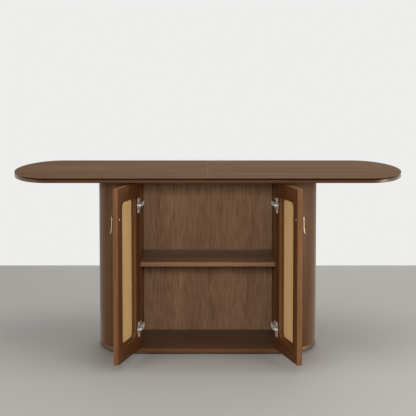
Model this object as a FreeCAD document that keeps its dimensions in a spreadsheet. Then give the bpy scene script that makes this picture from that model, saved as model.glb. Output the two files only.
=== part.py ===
import FreeCAD, Part
import math
import os

# Kitchen table with a storage cabinet in its base. Millimetres, +Z up, the front faces -Y.
# The origin is on the floor, under the middle of the base. The doors stand open at rest.

V = FreeCAD.Vector
doc = FreeCAD.newDocument("kitchen_table")

# Driving dimensions
SIZES = {
    "overall_height": 760,
    "top_length": 1655,
    "top_depth": 762,
    "top_thick": 20,
    "top_bulge": 172,
    "top_arris": 2.5,
    "seam_bevel": 0.8,
    "base_length": 936,
    "base_depth": 450,
    "base_bulge": 132,
    "plinth_height": 7,
    "plinth_inset": 14,
    "board_thick": 18,
    "shell_thick": 12,
    "end_width": 183,
    "back_thick": 12,
    "back_space": 57,
    "rail_height": 60,
    "former_height": 360,
    "shelf_top": 386,
    "shelf_setback": 6,
    "shelf_play": 1,
    "pin_dia": 5,
    "pin_reach": 9,
    "pin_sunk": 8,
    "pin_setback": 60,
    "fit_gap": 0.3,
    "screw_gap": 0.1,
    "dowel_dia": 8,
    "top_dowel_length": 60,
    "top_dowel_pitch": 200,
    "carcass_dowel_length": 30,
    "carcass_dowel_sunk": 12,
    "carcass_dowel_front": 52,
    "carcass_dowel_rear": 57,
    "top_screw_dia": 4.5,
    "top_screw_head": 9,
    "top_screw_head_height": 2.5,
    "top_screw_length": 30,
    "top_screw_from_seam": 60,
    "top_screw_from_side": 45,
    "top_screw_from_front": 52,
    "top_screw_from_back": 38,
    "door_thick": 21,
    "door_gap": 2,
    "door_head_gap": 9,
    "door_meet_gap": 3,
    "door_edge": 0.5,
    "pivot_inset": 1,
    "open_angle": 104,
    "frame_width": 58,
    "frame_corner": 28,
    "lip_width": 8,
    "lip_thick": 2.5,
    "cane_thick": 1.5,
    "bead_height": 6,
    "pull_height": 68,
    "pull_width": 14,
    "pull_thick": 3.5,
    "pull_standoff": 7,
    "pull_straight": 40,
    "pull_bow_radius": 80,
    "pull_edge": 19,
    "pull_drop": 110,
    "post_dia": 8,
    "post_below": 13,
    "pull_screw_dia": 4,
    "pull_screw_sunk": 6,
    "pull_screw_head": 8.5,
    "pull_screw_head_height": 2.2,
    "hinge_from_top": 98,
    "hinge_from_bottom": 86,
    "cup_dia": 35,
    "cup_depth": 12,
    "cup_wall": 1.5,
    "cup_edge": 22,
    "rim_dia": 39,
    "flange_height": 62,
    "flange_width": 24,
    "flange_thick": 1.5,
    "cup_screw_pitch": 48,
    "cup_screw_dia": 3.5,
    "cup_screw_head": 7,
    "cup_screw_head_height": 1.2,
    "cup_screw_length": 12,
    "plate_thick": 3,
    "plate_setback": 11,
    "plate_length": 44,
    "plate_width": 16,
    "wing_thick": 2.5,
    "wing_length": 16,
    "wing_height": 48,
    "plate_screw_pitch": 32,
    "plate_screw_dia": 4,
    "plate_screw_head": 8,
    "plate_screw_head_height": 1.5,
    "plate_screw_length": 14,
    "arm_width": 13,
    "arm_cheek": 2.5,
    "arm_height": 12.5,
    "arm_web": 2,
    "arm_setback": 3,
    "arm_length": 59,
    "nose_radius": 4.5,
    "link_pin_reach": 11,
    "link_pin_ahead": 7,
    "link_pin_dia": 4,
    "link_pin_play": 0.05,
    "link_half_width": 3,
    "link_half_thick": 3.5,
    "link_eye_radius": 4.2,
    "link_rise": 8.5,
    "link_tip_past_cup": 1.5,
}

sheet = doc.addObject("Spreadsheet::Sheet", "dims")
for row, (alias, value) in enumerate(SIZES.items(), start=1):
    sheet.set("A%d" % row, alias)
    sheet.set("B%d" % row, str(value))
    sheet.setAlias("B%d" % row, alias)
doc.recompute()


def size(alias):
    return float(sheet.get(alias))


def formula(words):
    """Turn size names in an expression into references to the sheet."""
    out = []
    for word in words.replace("(", " ( ").replace(")", " ) ").split():
        out.append("dims." + word if word in SIZES else word)
    return " ".join(out)


def bind(thing, **links):
    for prop, words in links.items():
        thing.setExpression(prop.replace("__", "."), formula(words))
    return thing


# Places that several pieces share, as formulas of the driving dimensions
TOP_Z = "( overall_height - top_thick )"
FLOOR_Z = "( plinth_height + board_thick )"
CAP_Z = "( overall_height - top_thick - board_thick )"
HALF_TOP = "( top_depth / 2 )"
HALF_BASE = "( base_depth / 2 )"
TOP_CURVE_X = "( top_length / 2 - top_bulge )"
BASE_CURVE_X = "( base_length / 2 - base_bulge )"
SIDE_IN = "( base_length / 2 - end_width )"
SIDE_OUT = "( base_length / 2 - end_width + board_thick )"
SHELL_EDGE = "( base_length / 2 - end_width + board_thick + fit_gap )"
CARCASS_FRONT = "( base_depth / 2 - door_thick - door_gap )"
BACK_Y = "( base_depth / 2 - board_thick - back_space - back_thick )"
REAR_IN = "( base_depth / 2 - board_thick )"
PIVOT_X = "( base_length / 2 - end_width + board_thick - pivot_inset )"
DOOR_Z = "( plinth_height + board_thick + door_gap )"
DOOR_HEAD = "( overall_height - top_thick - door_head_gap )"
DOOR_FREE = "( base_length / 2 - end_width + board_thick - pivot_inset - door_meet_gap / 2 )"
SHELF_Z = "( shelf_top - board_thick )"
HINGE_Z = {
    "upper": "( overall_height - top_thick - door_head_gap - hinge_from_top )",
    "lower": "( plinth_height + board_thick + door_gap + hinge_from_bottom )",
}


def box(name, x, y, z):
    """A block between two formulas on each axis."""
    solid = doc.addObject("Part::Box", name)
    bind(solid, Length="( %s ) - ( %s )" % (x[1], x[0]), Width="( %s ) - ( %s )" % (y[1], y[0]),
         Height="( %s ) - ( %s )" % (z[1], z[0]), Placement__Base__x=x[0], Placement__Base__y=y[0],
         Placement__Base__z=z[0])
    return solid


AXIS_TURN = {
    "x": FreeCAD.Rotation(V(0, 1, 0), 90),
    "y": FreeCAD.Rotation(V(1, 0, 0), -90),
    "z": FreeCAD.Rotation(),
}


def rod(name, axis, dia, start, length):
    """A cylinder from a start point along one positive axis."""
    solid = doc.addObject("Part::Cylinder", name)
    solid.Placement = FreeCAD.Placement(V(), AXIS_TURN[axis])
    bind(solid, Radius="( %s ) / 2" % dia, Height=length, Placement__Base__x=start[0],
         Placement__Base__y=start[1], Placement__Base__z=start[2])
    return solid


def oval(name, bulge, half_depth, x, z):
    """An upright elliptical column, its long axis along Y."""
    ring = doc.addObject("Part::Ellipse", name + "_ring")
    ring.Placement = FreeCAD.Placement(V(), FreeCAD.Rotation(V(0, 0, 1), 90))
    bind(ring, MajorRadius=half_depth, MinorRadius=bulge, Placement__Base__x=x, Placement__Base__z=z[0])
    column = doc.addObject("Part::Extrusion", name)
    column.Base = ring
    column.DirMode = "Custom"
    column.Dir = V(0, 0, 1)
    column.Solid = True
    bind(column, LengthFwd="( %s ) - ( %s )" % (z[1], z[0]))
    return column


def fuse(name, *pieces):
    whole = doc.addObject("Part::MultiFuse", name)
    whole.Shapes = list(pieces)
    whole.Refine = True
    return whole


def cut(name, base, *tools):
    """Take one or more tools away from a base, which keeps its place in the document."""
    left = doc.addObject("Part::Cut", name)
    left.Base = base
    left.Tool = tools[0] if len(tools) == 1 else fuse(name + "_tools", *tools)
    left.Refine = True
    return left


def keep(name, base, window):
    common = doc.addObject("Part::MultiCommon", name)
    common.Shapes = [base, window]
    common.Refine = True
    return common


def group(name, pieces):
    whole = doc.addObject("Part::Compound", name)
    whole.Links = list(pieces)
    return whole


def minus(words):
    """The first term taken to the other side of zero. Terms after it keep their own signs."""
    return "0 - " + words


NODES = []


def node(label, thing):
    """Name a finished sub-part, which becomes one file."""
    thing.Label = label
    NODES.append(thing)
    return thing


def mirrored(label, thing):
    """The same sub-part for the other side of the table."""
    twin = doc.addObject("Part::Mirroring", label + "_twin")
    twin.Source = thing
    twin.Base = V(0, 0, 0)
    twin.Normal = V(1, 0, 0)
    return node(label, twin)


def both_sides(label, thing):
    node(label + "_left", thing)
    return mirrored(label + "_right", thing)


# Places of the fasteners
TOP_DOWEL_Y = ["top_dowel_pitch * %s" % share for share in (-1.5, -0.5, 0.5, 1.5)]
TOP_SCREW_AT = [(x, y) for x in ("top_screw_from_seam", "( %s - top_screw_from_side )" % SIDE_IN)
                for y in (minus(CARCASS_FRONT + " + top_screw_from_front"),
                          BACK_Y + " - top_screw_from_back")]
CARCASS_DOWEL_Y = [minus(CARCASS_FRONT + " + carcass_dowel_front"), REAR_IN + " - carcass_dowel_rear"]
PIN_Y = [minus(CARCASS_FRONT + " + pin_setback"), BACK_Y + " - pin_setback"]


def carcass_dowel_rods(name, extra_dia, extra_length):
    """The upright dowels of the left side panel, or their holes when given some play."""
    rods = []
    starts = (FLOOR_Z + " - carcass_dowel_sunk", CAP_Z + " + carcass_dowel_sunk - carcass_dowel_length")
    for end, start in zip("lower upper".split(), starts):
        for index, y in enumerate(CARCASS_DOWEL_Y):
            rods.append(rod("%s_%s_%d" % (name, end, index), "z", "( dowel_dia + %s )" % extra_dia,
                            (minus(SIDE_IN + " - board_thick / 2"), y, "%s - %s" % (start, extra_length)),
                            "carcass_dowel_length + 2 * %s" % extra_length))
    return rods


def arris_edges(shape, levels, seam):
    """Edges that lie flat at one of the levels, either on the seam plane or off it."""
    found = []
    for index, edge in enumerate(shape.Edges, start=1):
        low, high = edge.BoundBox.ZMin, edge.BoundBox.ZMax
        flat = any(abs(low - z) < 1e-4 and abs(high - z) < 1e-4 for z in levels)
        on_seam = edge.BoundBox.XMax > -1e-4 and edge.BoundBox.XMin > -1e-4
        if flat and on_seam == seam:
            found.append(index)
    return found


# Table top: two halves that meet on a seam across the middle
def table_top():
    span = (TOP_Z, "overall_height")
    board = box("top_board", (minus(TOP_CURVE_X), "0"), (minus(HALF_TOP), HALF_TOP), span)
    end = oval("top_end", "top_bulge", HALF_TOP, minus(TOP_CURVE_X), span)
    window = box("top_end_window", (minus("( top_length / 2 ) - 1"), minus(TOP_CURVE_X)),
                 (minus(HALF_TOP + " - 1"), HALF_TOP + " + 1"), span)
    end = keep("top_end_half", end, window)
    slab = fuse("top_slab", board, end)
    doc.recompute()
    levels = (size("overall_height"), size("overall_height") - size("top_thick"))
    eased = doc.addObject("Part::Fillet", "top_eased")
    eased.Base = slab
    arris = size("top_arris")
    eased.Edges = [(index, arris, arris) for index in arris_edges(slab.Shape, levels, False)]
    doc.recompute()
    bevelled = doc.addObject("Part::Chamfer", "top_bevelled")
    bevelled.Base = eased
    bevel = size("seam_bevel")
    bevelled.Edges = [(index, bevel, bevel) for index in arris_edges(eased.Shape, levels[:1], True)]
    holes = []
    for index, y in enumerate(TOP_DOWEL_Y):
        holes.append(rod("top_dowel_hole_%d" % index, "x", "( dowel_dia + 2 * screw_gap )",
                         (minus("( top_dowel_length / 2 + fit_gap )"), y, TOP_Z + " + top_thick / 2"),
                         "top_dowel_length"))
    for index, (x, y) in enumerate(TOP_SCREW_AT):
        holes.append(rod("top_screw_hole_%d" % index, "z", "( top_screw_dia + 2 * screw_gap )",
                         (minus(x), y, CAP_Z), "top_screw_length + fit_gap"))
    both_sides("top", cut("top_half", bevelled, *holes))
    node("top_dowels", group("top_dowels", [
        rod("top_dowel_%d" % index, "x", "dowel_dia",
            (minus("top_dowel_length / 2"), y, TOP_Z + " + top_thick / 2"), "top_dowel_length")
        for index, y in enumerate(TOP_DOWEL_Y)]))
    screws = []
    for side, sign in (("left", "0 - "), ("right", "")):
        for index, (x, y) in enumerate(TOP_SCREW_AT):
            tag = "top_screw_%s_%d" % (side, index)
            shank = rod(tag + "_shank", "z", "top_screw_dia", (sign + x, y, CAP_Z), "top_screw_length")
            head = rod(tag + "_head", "z", "top_screw_head",
                       (sign + x, y, CAP_Z + " - top_screw_head_height"), "top_screw_head_height")
            screws.append(fuse(tag, shank, head))
    node("top_screws", group("top_screws", screws))


# Base: plinth, floor board, side panels, cap board, curved ends, back and shelf
def oval_board(name, inset, z):
    half_depth = "( base_depth / 2 - %s )" % inset
    bulge = "( base_bulge - %s )" % inset
    board = box(name + "_middle", (minus(BASE_CURVE_X), BASE_CURVE_X), (minus(half_depth), half_depth), z)
    left = oval(name + "_left", bulge, half_depth, minus(BASE_CURVE_X), z)
    right = oval(name + "_right", bulge, half_depth, BASE_CURVE_X, z)
    return fuse(name, board, left, right)


def end_column(name, inset, edge, z):
    """The solid outline of the left end of the base, drawn in by an inset and stopped at an edge."""
    half_depth = "( base_depth / 2 - %s )" % inset
    bulge = "( base_bulge - %s )" % inset
    straight = box(name + "_straight", (minus(BASE_CURVE_X), minus(edge)), (minus(half_depth), half_depth), z)
    curve = oval(name + "_curve", bulge, half_depth, minus(BASE_CURVE_X), z)
    window = box(name + "_window", (minus("( base_length / 2 ) - 1"), minus(edge)),
                 (minus(HALF_BASE + " - 1"), HALF_BASE + " + 1"), z)
    return keep(name, fuse(name + "_outline", straight, curve), window)


def base():
    node("plinth", oval_board("plinth_board", "plinth_inset", ("0", "plinth_height")))
    dowel_holes = carcass_dowel_rods("carcass_hole", "2 * screw_gap", "fit_gap")
    holes_left = group("carcass_holes_left", dowel_holes)
    holes_right = doc.addObject("Part::Mirroring", "carcass_holes_right")
    holes_right.Source = holes_left
    holes_right.Normal = V(1, 0, 0)
    floor = oval_board("floor_outline", "0", ("plinth_height", FLOOR_Z))
    node("base_board", cut("base_board_cut", floor, holes_left, holes_right))
    cap = box("cap_outline", (minus(SIDE_OUT), SIDE_OUT), (minus(CARCASS_FRONT), REAR_IN), (CAP_Z, TOP_Z))
    cap_holes = [rod("cap_screw_hole_%s_%d" % (side, index), "z", "( top_screw_dia + 2 * screw_gap )",
                     (sign + x, y, CAP_Z + " - 1"), "board_thick + 2")
                 for side, sign in (("left", "0 - "), ("right", ""))
                 for index, (x, y) in enumerate(TOP_SCREW_AT)]
    node("cap_board", cut("cap_board_cut", cap, holes_left, holes_right, *cap_holes))
    side = box("side_outline", (minus(SIDE_OUT), minus(SIDE_IN)), (minus(CARCASS_FRONT), REAR_IN),
               (FLOOR_Z, CAP_Z))
    pin_holes = [rod("pin_hole_%d" % index, "x", "( pin_dia + 2 * screw_gap )",
                     (minus(SIDE_IN + " - pin_sunk - fit_gap"), y, SHELF_Z + " - pin_dia / 2"),
                     "pin_sunk + fit_gap + 1") for index, y in enumerate(PIN_Y)]
    pilots = plate_screw_rods("hole", True)
    both_sides("side_panel", cut("side_panel_cut", side, holes_left, *(pin_holes + pilots)))
    dowels = carcass_dowel_rods("carcass_dowel", "0", "0")
    dowels_left = group("carcass_dowels_left", dowels)
    dowels_right = doc.addObject("Part::Mirroring", "carcass_dowels_right")
    dowels_right.Source = dowels_left
    dowels_right.Normal = V(1, 0, 0)
    node("carcass_dowels", group("carcass_dowels", [dowels_left, dowels_right]))

    wall = (FLOOR_Z, TOP_Z)
    outer = end_column("shell_outer", "0", SHELL_EDGE, wall)
    inner = end_column("shell_inner", "shell_thick", "( %s - 1 )" % SHELL_EDGE, wall)
    both_sides("end_shell", cut("end_shell_cut", outer, inner))
    formers = [end_column("former_" + name, "( shell_thick + fit_gap )", SIDE_OUT,
                          (start, start + " + board_thick"))
               for name, start in (("middle", "former_height"), ("upper", CAP_Z))]
    both_sides("end_formers", group("end_formers", formers))

    node("back_panel", box("back_panel", (minus(SIDE_IN), SIDE_IN), (BACK_Y, BACK_Y + " + back_thick"),
                           (FLOOR_Z, CAP_Z)))
    rails = [box("rear_rail_" + name, (minus(SIDE_IN), SIDE_IN), (BACK_Y + " + back_thick", REAR_IN),
                 (start, start + " + rail_height"))
             for name, start in (("lower", FLOOR_Z), ("upper", CAP_Z + " - rail_height"))]
    node("rear_rails", group("rear_rails", rails))
    rear_x = SHELL_EDGE + " - fit_gap"
    node("rear_panel", box("rear_panel", (minus("( %s )" % rear_x), rear_x), (REAR_IN, HALF_BASE), wall))

    shelf_x = SIDE_IN + " - shelf_play"
    shelf_y = (minus(CARCASS_FRONT + " + shelf_setback"), BACK_Y + " - shelf_play")
    node("shelf", box("shelf", (minus("( %s )" % shelf_x), shelf_x), shelf_y, (SHELF_Z, "shelf_top")))
    pins = []
    for side, start in (("left", minus(SIDE_IN + " - pin_sunk")), ("right", SIDE_IN + " - pin_reach")):
        for index, y in enumerate(PIN_Y):
            pins.append(rod("shelf_pin_%s_%d" % (side, index), "x", "pin_dia",
                            (start, y, SHELF_Z + " - pin_dia / 2"), "pin_sunk + pin_reach"))
    node("shelf_pins", group("shelf_pins", pins))


# Doors: drawn shut, with the hinge axis on the local origin, then swung open
def swing(thing):
    thing.Placement = FreeCAD.Placement(V(), FreeCAD.Rotation(V(0, 0, 1), 256))
    bind(thing, Placement__Base__x=minus(PIVOT_X), Placement__Base__y=minus(HALF_BASE))
    thing.setExpression("Placement.Rotation.Angle", formula("360 - open_angle"))
    return thing


def seat(thing):
    """Place a fixed piece that is drawn from the hinge axis."""
    return bind(thing, Placement__Base__x=minus(PIVOT_X), Placement__Base__y=minus(HALF_BASE))


def window_block(name, inset, corner, y):
    """A block with round corners, its sides an inset away from the door's edges."""
    x0, x1 = "door_edge + " + inset, DOOR_FREE + " - " + inset
    z0, z1 = DOOR_Z + " + " + inset, DOOR_HEAD + " - " + inset
    wide = box(name + "_wide", (x0, x1), y, (z0 + " + " + corner, z1 + " - " + corner))
    tall = box(name + "_tall", (x0 + " + " + corner, x1 + " - " + corner), y, (z0, z1))
    rounds = [rod("%s_round_%d%d" % (name, i, k), "y", "( 2 * %s )" % corner, (x, y[0], z),
                  "( %s ) - ( %s )" % (y[1], y[0]))
              for i, x in enumerate((x0 + " + " + corner, x1 + " - " + corner))
              for k, z in enumerate((z0 + " + " + corner, z1 + " - " + corner))]
    return fuse(name, wide, tall, *rounds)


CUP_X = "( door_edge + cup_edge )"
PULL_X = "( %s - pull_edge )" % DOOR_FREE
PULL_TOP = "( %s - pull_drop )" % DOOR_HEAD
POST_Z = "( %s - pull_drop - post_below )" % DOOR_HEAD


def cup_screw_rods(name, dia, start, length):
    return [rod("cup_screw_%s_%s_%s" % (name, place, end), "y", dia,
                (CUP_X, start, "%s %s cup_screw_pitch / 2" % (z, sign)), length)
            for place, z in HINGE_Z.items() for end, sign in (("top", "+"), ("low", "-"))]


def doors():
    leaf = box("door_leaf", ("door_edge", DOOR_FREE), ("0", "door_thick"), (DOOR_Z, DOOR_HEAD))
    lip_inset = "( frame_width + lip_width )"
    lip_corner = "( frame_corner - lip_width )"
    lip = window_block("door_lip", lip_inset, lip_corner, ("0 - 1", "door_thick + 1"))
    rebate = window_block("door_rebate", "frame_width", "frame_corner", ("lip_thick", "door_thick + 1"))
    pockets = [rod("cup_pocket_" + place, "y", "( cup_dia + 2 * screw_gap )",
                   (CUP_X, "door_thick - cup_depth - screw_gap", z), "cup_depth + 1")
               for place, z in HINGE_Z.items()]
    pilots = cup_screw_rods("pilot", "( cup_screw_dia + 2 * screw_gap )",
                            "door_thick + flange_thick - cup_screw_length - screw_gap", "cup_screw_length")
    bolt = rod("pull_screw_hole", "y", "( pull_screw_dia + 2 * screw_gap )", (PULL_X, "0 - 1", POST_Z),
               "door_thick + 2")
    both_sides("door_frame", swing(cut("door_frame_cut", leaf, lip, rebate, bolt, *(pockets + pilots))))

    fitted = "( frame_width + fit_gap )"
    fitted_corner = "( frame_corner - fit_gap )"
    cane_back = "lip_thick + cane_thick"
    cane = window_block("cane_panel", fitted, fitted_corner, ("lip_thick", cane_back))
    both_sides("cane_panel", swing(group("cane_panel_set", [cane])))
    ring = window_block("bead_outer", fitted, fitted_corner, (cane_back, cane_back + " + bead_height"))
    hollow = window_block("bead_inner", lip_inset, lip_corner,
                          (cane_back + " - 1", cane_back + " + bead_height + 1"))
    both_sides("cane_bead", swing(cut("cane_bead_cut", ring, hollow)))

    pulls()
    cups()


def pulls():
    face = "pull_standoff"
    width = (PULL_X + " - pull_width / 2", PULL_X + " + pull_width / 2")
    bend_z = PULL_TOP + " - pull_straight"
    start = (PULL_X + " - pull_width", minus("( pull_standoff + pull_bow_radius )"), bend_z)
    hoop = cut("pull_hoop",
               rod("pull_hoop_outer", "x", "( 2 * pull_bow_radius )", start, "2 * pull_width"),
               rod("pull_hoop_inner", "x", "( 2 * ( pull_bow_radius - pull_thick ) )", start,
                   "2 * pull_width"))
    window = box("pull_bow_window", width, (minus("( pull_standoff + pull_bow_radius )"), "0"),
                 (PULL_TOP + " - pull_height", bend_z))
    straight = box("pull_straight_bar", width,
                   (minus("( pull_standoff + pull_thick )"), minus("pull_standoff")), (bend_z, PULL_TOP))
    post = rod("pull_post", "y", "post_dia", (PULL_X, minus("( %s + pull_thick / 2 )" % face), POST_Z),
               face + " + pull_thick / 2")
    bore = rod("pull_post_bore", "y", "( pull_screw_dia + 2 * screw_gap )",
               (PULL_X, minus("( pull_screw_sunk + screw_gap )"), POST_Z), "pull_screw_sunk + 1")
    body = fuse("pull_body", straight, keep("pull_bow", hoop, window), post)
    both_sides("door_pull", swing(cut("door_pull_cut", body, bore)))
    shank = rod("pull_screw_shank", "y", "pull_screw_dia", (PULL_X, minus("pull_screw_sunk"), POST_Z),
                "door_thick + pull_screw_sunk")
    head = rod("pull_screw_head_disc", "y", "pull_screw_head", (PULL_X, "door_thick", POST_Z),
               "pull_screw_head_height")
    both_sides("pull_screw", swing(fuse("pull_screw_body", shank, head)))


# Concealed hinges: a cup in the door, an arm on a plate in the cabinet and a link between them
def cups():
    made = []
    back = "door_thick - cup_depth"
    face = "door_thick + flange_thick"
    holes = cup_screw_rods("clear", "( cup_screw_dia + 2 * screw_gap )", "door_thick - 1", "flange_thick + 2")
    for index, (place, z) in enumerate(HINGE_Z.items()):
        bowl = rod("cup_bowl_" + place, "y", "cup_dia", (CUP_X, back, z), "cup_depth")
        rim = rod("cup_rim_" + place, "y", "rim_dia", (CUP_X, "door_thick", z), "flange_thick")
        wings = box("cup_wings_" + place, (CUP_X + " - flange_width / 2", CUP_X + " + flange_width / 2"),
                    ("door_thick", face), (z + " - flange_height / 2", z + " + flange_height / 2"))
        hollow = rod("cup_hollow_" + place, "y", "( cup_dia - 2 * cup_wall )",
                     (CUP_X, back + " + cup_wall", z), "cup_depth + flange_thick")
        made.append(cut("hinge_cup_" + place, fuse("cup_body_" + place, bowl, rim, wings), hollow,
                        *holes[2 * index:2 * index + 2]))
    both_sides("hinge_cups", swing(group("hinge_cups", made)))
    shanks = cup_screw_rods("shank", "cup_screw_dia", face + " - cup_screw_length", "cup_screw_length")
    heads = cup_screw_rods("head", "cup_screw_head", face, "cup_screw_head_height")
    screws = [fuse("cup_screw_%d" % index, *pair) for index, pair in enumerate(zip(shanks, heads))]
    both_sides("cup_screws", swing(group("cup_screws", screws)))


# Places on the cabinet side of a hinge, from the hinge axis
SIDE_FACE = "( board_thick - pivot_inset )"
CABINET_LIP = "( door_thick + door_gap )"
PLATE_Y = "( door_thick + door_gap + plate_setback )"
ARM_X = "( board_thick - pivot_inset + plate_thick )"
ARM_Y = "( door_thick + door_gap + arm_setback )"
LINK_X = "( board_thick - pivot_inset + link_pin_reach )"
LINK_Y = "( door_thick + door_gap - link_pin_ahead )"


def plate_screw_rods(name, as_hole):
    """The plate screws' shanks, or their pilot holes in the left side panel."""
    dia = "( plate_screw_dia + 2 * screw_gap )" if as_hole else "plate_screw_dia"
    extra = "fit_gap" if as_hole else "0"
    x = SIDE_FACE + " + wing_thick - plate_screw_length - " + extra
    if as_hole:
        x = "%s - ( %s )" % (x, PIVOT_X)
    rods = []
    for place, z in HINGE_Z.items():
        for end, sign in (("top", "+"), ("low", "-")):
            y = PLATE_Y + " + plate_length / 2" + (" - " + HALF_BASE if as_hole else "")
            rods.append(rod("plate_screw_%s_%s_%s" % (name, place, end), "x", dia,
                            (x, y, "%s %s plate_screw_pitch / 2" % (z, sign)),
                            "plate_screw_length + " + extra))
    return rods


def link_route():
    """The link's bends, from its pin on the arm over the cup's rim and down into the cup."""
    turn = math.radians(size("open_angle"))
    pin = V(size("board_thick") - size("pivot_inset") + size("link_pin_reach"),
            size("door_thick") + size("door_gap") - size("link_pin_ahead"), 0)
    over_rim = size("door_thick") + size("flange_thick") + size("link_half_width") + size("fit_gap")
    cup_x = size("door_edge") + size("cup_edge")
    cup_floor = size("door_thick") - size("cup_depth") + size("cup_wall")
    tip_y = cup_floor + size("link_half_width") + size("fit_gap")
    on_door = [(-size("link_half_width"), over_rim + size("link_rise") / 2),
               (cup_x - size("link_rise") * 0.7, over_rim + size("link_rise") / 3),
               (cup_x + size("link_tip_past_cup"), tip_y)]
    bends = [V(x * math.cos(turn) + y * math.sin(turn), y * math.cos(turn) - x * math.sin(turn), 0)
             for x, y in on_door]
    return [pin] + bends


def link_solid(z):
    """A bent strap round the route, with an eye at its first point."""
    half, thick = size("link_half_width"), size("link_half_thick")
    low = V(0, 0, z - thick)
    route = link_route()
    strap = Part.makeCylinder(size("link_eye_radius"), 2 * thick, route[0] + low)
    for start, end in zip(route, route[1:]):
        run = end - start
        bar = Part.makeBox(run.Length, 2 * half, 2 * thick, V(0, -half, 0))
        bar.Placement = FreeCAD.Placement(start + low, FreeCAD.Rotation(V(1, 0, 0), run))
        strap = strap.fuse([bar, Part.makeCylinder(half, 2 * thick, end + low)])
    eye = Part.makeCylinder(size("link_pin_dia") / 2 + size("link_pin_play"), 2 * thick, route[0] + low)
    return strap.cut(eye).removeSplitter()


def hinge_height(place):
    if place == "upper":
        return size("overall_height") - size("top_thick") - size("door_head_gap") - size("hinge_from_top")
    return size("plinth_height") + size("board_thick") + size("door_gap") + size("hinge_from_bottom")


def cabinet_hinges():
    plates, arms = [], []
    clear = [rod("plate_clear_%s_%s" % (place, end), "x", "( plate_screw_dia + 2 * screw_gap )",
                 (SIDE_FACE + " - 1", PLATE_Y + " + plate_length / 2",
                  "%s %s plate_screw_pitch / 2" % (z, sign)), "plate_thick + 2")
             for place, z in HINGE_Z.items() for end, sign in (("top", "+"), ("low", "-"))]
    for index, (place, z) in enumerate(HINGE_Z.items()):
        middle = PLATE_Y + " + plate_length / 2"
        spine = box("plate_spine_" + place, (SIDE_FACE, ARM_X), (PLATE_Y, PLATE_Y + " + plate_length"),
                    (z + " - plate_width / 2", z + " + plate_width / 2"))
        wings = box("plate_wings_" + place, (SIDE_FACE, SIDE_FACE + " + wing_thick"),
                    (middle + " - wing_length / 2", middle + " + wing_length / 2"),
                    (z + " - wing_height / 2", z + " + wing_height / 2"))
        plates.append(cut("hinge_plate_" + place, fuse("plate_body_" + place, spine, wings),
                          *clear[2 * index:2 * index + 2]))
        web = box("arm_web_" + place, (ARM_X, ARM_X + " + arm_web"), (ARM_Y, ARM_Y + " + arm_length"),
                  (z + " - arm_width / 2", z + " + arm_width / 2"))
        pin = rod("arm_pin_" + place, "z", "link_pin_dia", (LINK_X, LINK_Y, z + " - arm_width / 2"),
                  "arm_width")
        pieces = [web, pin]
        for end, start in (("low", z + " - arm_width / 2"), ("top", z + " + arm_width / 2 - arm_cheek")):
            reach = (start, start + " + arm_cheek")
            pieces.append(box("arm_cheek_%s_%s" % (place, end), (ARM_X, ARM_X + " + arm_height"),
                              (ARM_Y, ARM_Y + " + arm_length"), reach))
            pieces.append(box("arm_neck_%s_%s" % (place, end),
                              (LINK_X + " - nose_radius", LINK_X + " + nose_radius"), (LINK_Y, ARM_Y), reach))
            pieces.append(rod("arm_nose_%s_%s" % (place, end), "z", "( 2 * nose_radius )",
                              (LINK_X, LINK_Y, start), "arm_cheek"))
        arms.append(fuse("hinge_arm_" + place, *pieces))
    both_sides("hinge_plates", seat(group("hinge_plates", plates)))
    both_sides("hinge_arms", seat(group("hinge_arms", arms)))
    head_x = SIDE_FACE + " + wing_thick"
    heads = [rod("plate_screw_head_%s_%s" % (place, end), "x", "plate_screw_head",
                 (head_x, PLATE_Y + " + plate_length / 2", "%s %s plate_screw_pitch / 2" % (z, sign)),
                 "plate_screw_head_height")
             for place, z in HINGE_Z.items() for end, sign in (("top", "+"), ("low", "-"))]
    screws = [fuse("plate_screw_%d" % index, *pair)
              for index, pair in enumerate(zip(plate_screw_rods("shank", False), heads))]
    both_sides("plate_screws", seat(group("plate_screws", screws)))
    links = doc.addObject("Part::Feature", "hinge_links")
    links.Shape = Part.makeCompound([link_solid(hinge_height(place)) for place in HINGE_Z])
    both_sides("hinge_links", seat(links))


table_top()
base()
doors()
cabinet_hinges()
doc.recompute()

for thing in doc.Objects:
    if "Invalid" in thing.State or "Error" in thing.State:
        raise RuntimeError("failed: %s %s" % (thing.Label, thing.State))
for thing in NODES:
    if thing.Shape.isNull() or not thing.Shape.isValid() or not thing.Shape.Solids:
        raise RuntimeError("bad shape: " + thing.Label)

os.makedirs("parts", exist_ok=True)
for thing in NODES:
    thing.Shape.exportStep(os.path.join("parts", thing.Label + ".step"))
print("sub-parts written:", len(NODES))
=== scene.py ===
import math

import bmesh
import bpy
from mathutils import Matrix, Vector


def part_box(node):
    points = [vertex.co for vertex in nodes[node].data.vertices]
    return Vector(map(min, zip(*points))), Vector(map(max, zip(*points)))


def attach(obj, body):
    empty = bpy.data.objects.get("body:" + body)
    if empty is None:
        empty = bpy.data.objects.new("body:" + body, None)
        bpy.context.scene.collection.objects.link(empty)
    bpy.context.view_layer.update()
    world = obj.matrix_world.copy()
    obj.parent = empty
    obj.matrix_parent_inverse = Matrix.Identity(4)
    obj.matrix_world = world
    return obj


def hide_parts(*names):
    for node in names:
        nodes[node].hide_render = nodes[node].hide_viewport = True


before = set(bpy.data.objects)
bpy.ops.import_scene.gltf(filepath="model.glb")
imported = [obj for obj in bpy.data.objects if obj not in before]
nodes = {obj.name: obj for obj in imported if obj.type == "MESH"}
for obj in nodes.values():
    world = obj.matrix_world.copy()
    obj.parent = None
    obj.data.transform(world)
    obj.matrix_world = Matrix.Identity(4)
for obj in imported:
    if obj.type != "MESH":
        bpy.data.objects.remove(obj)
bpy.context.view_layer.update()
scene = bpy.context.scene

MM = 0.001
QUARTER = math.radians(90)
WELD, NEAR, PICK = 1e-6, 1e-5, 0.1 * MM    # distances at which points merge, lie in line, or are picked


# Wood, cane and metal finishes

LOW, HIGH = 0.3, 0.7    # most of a noise lies between these


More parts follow.
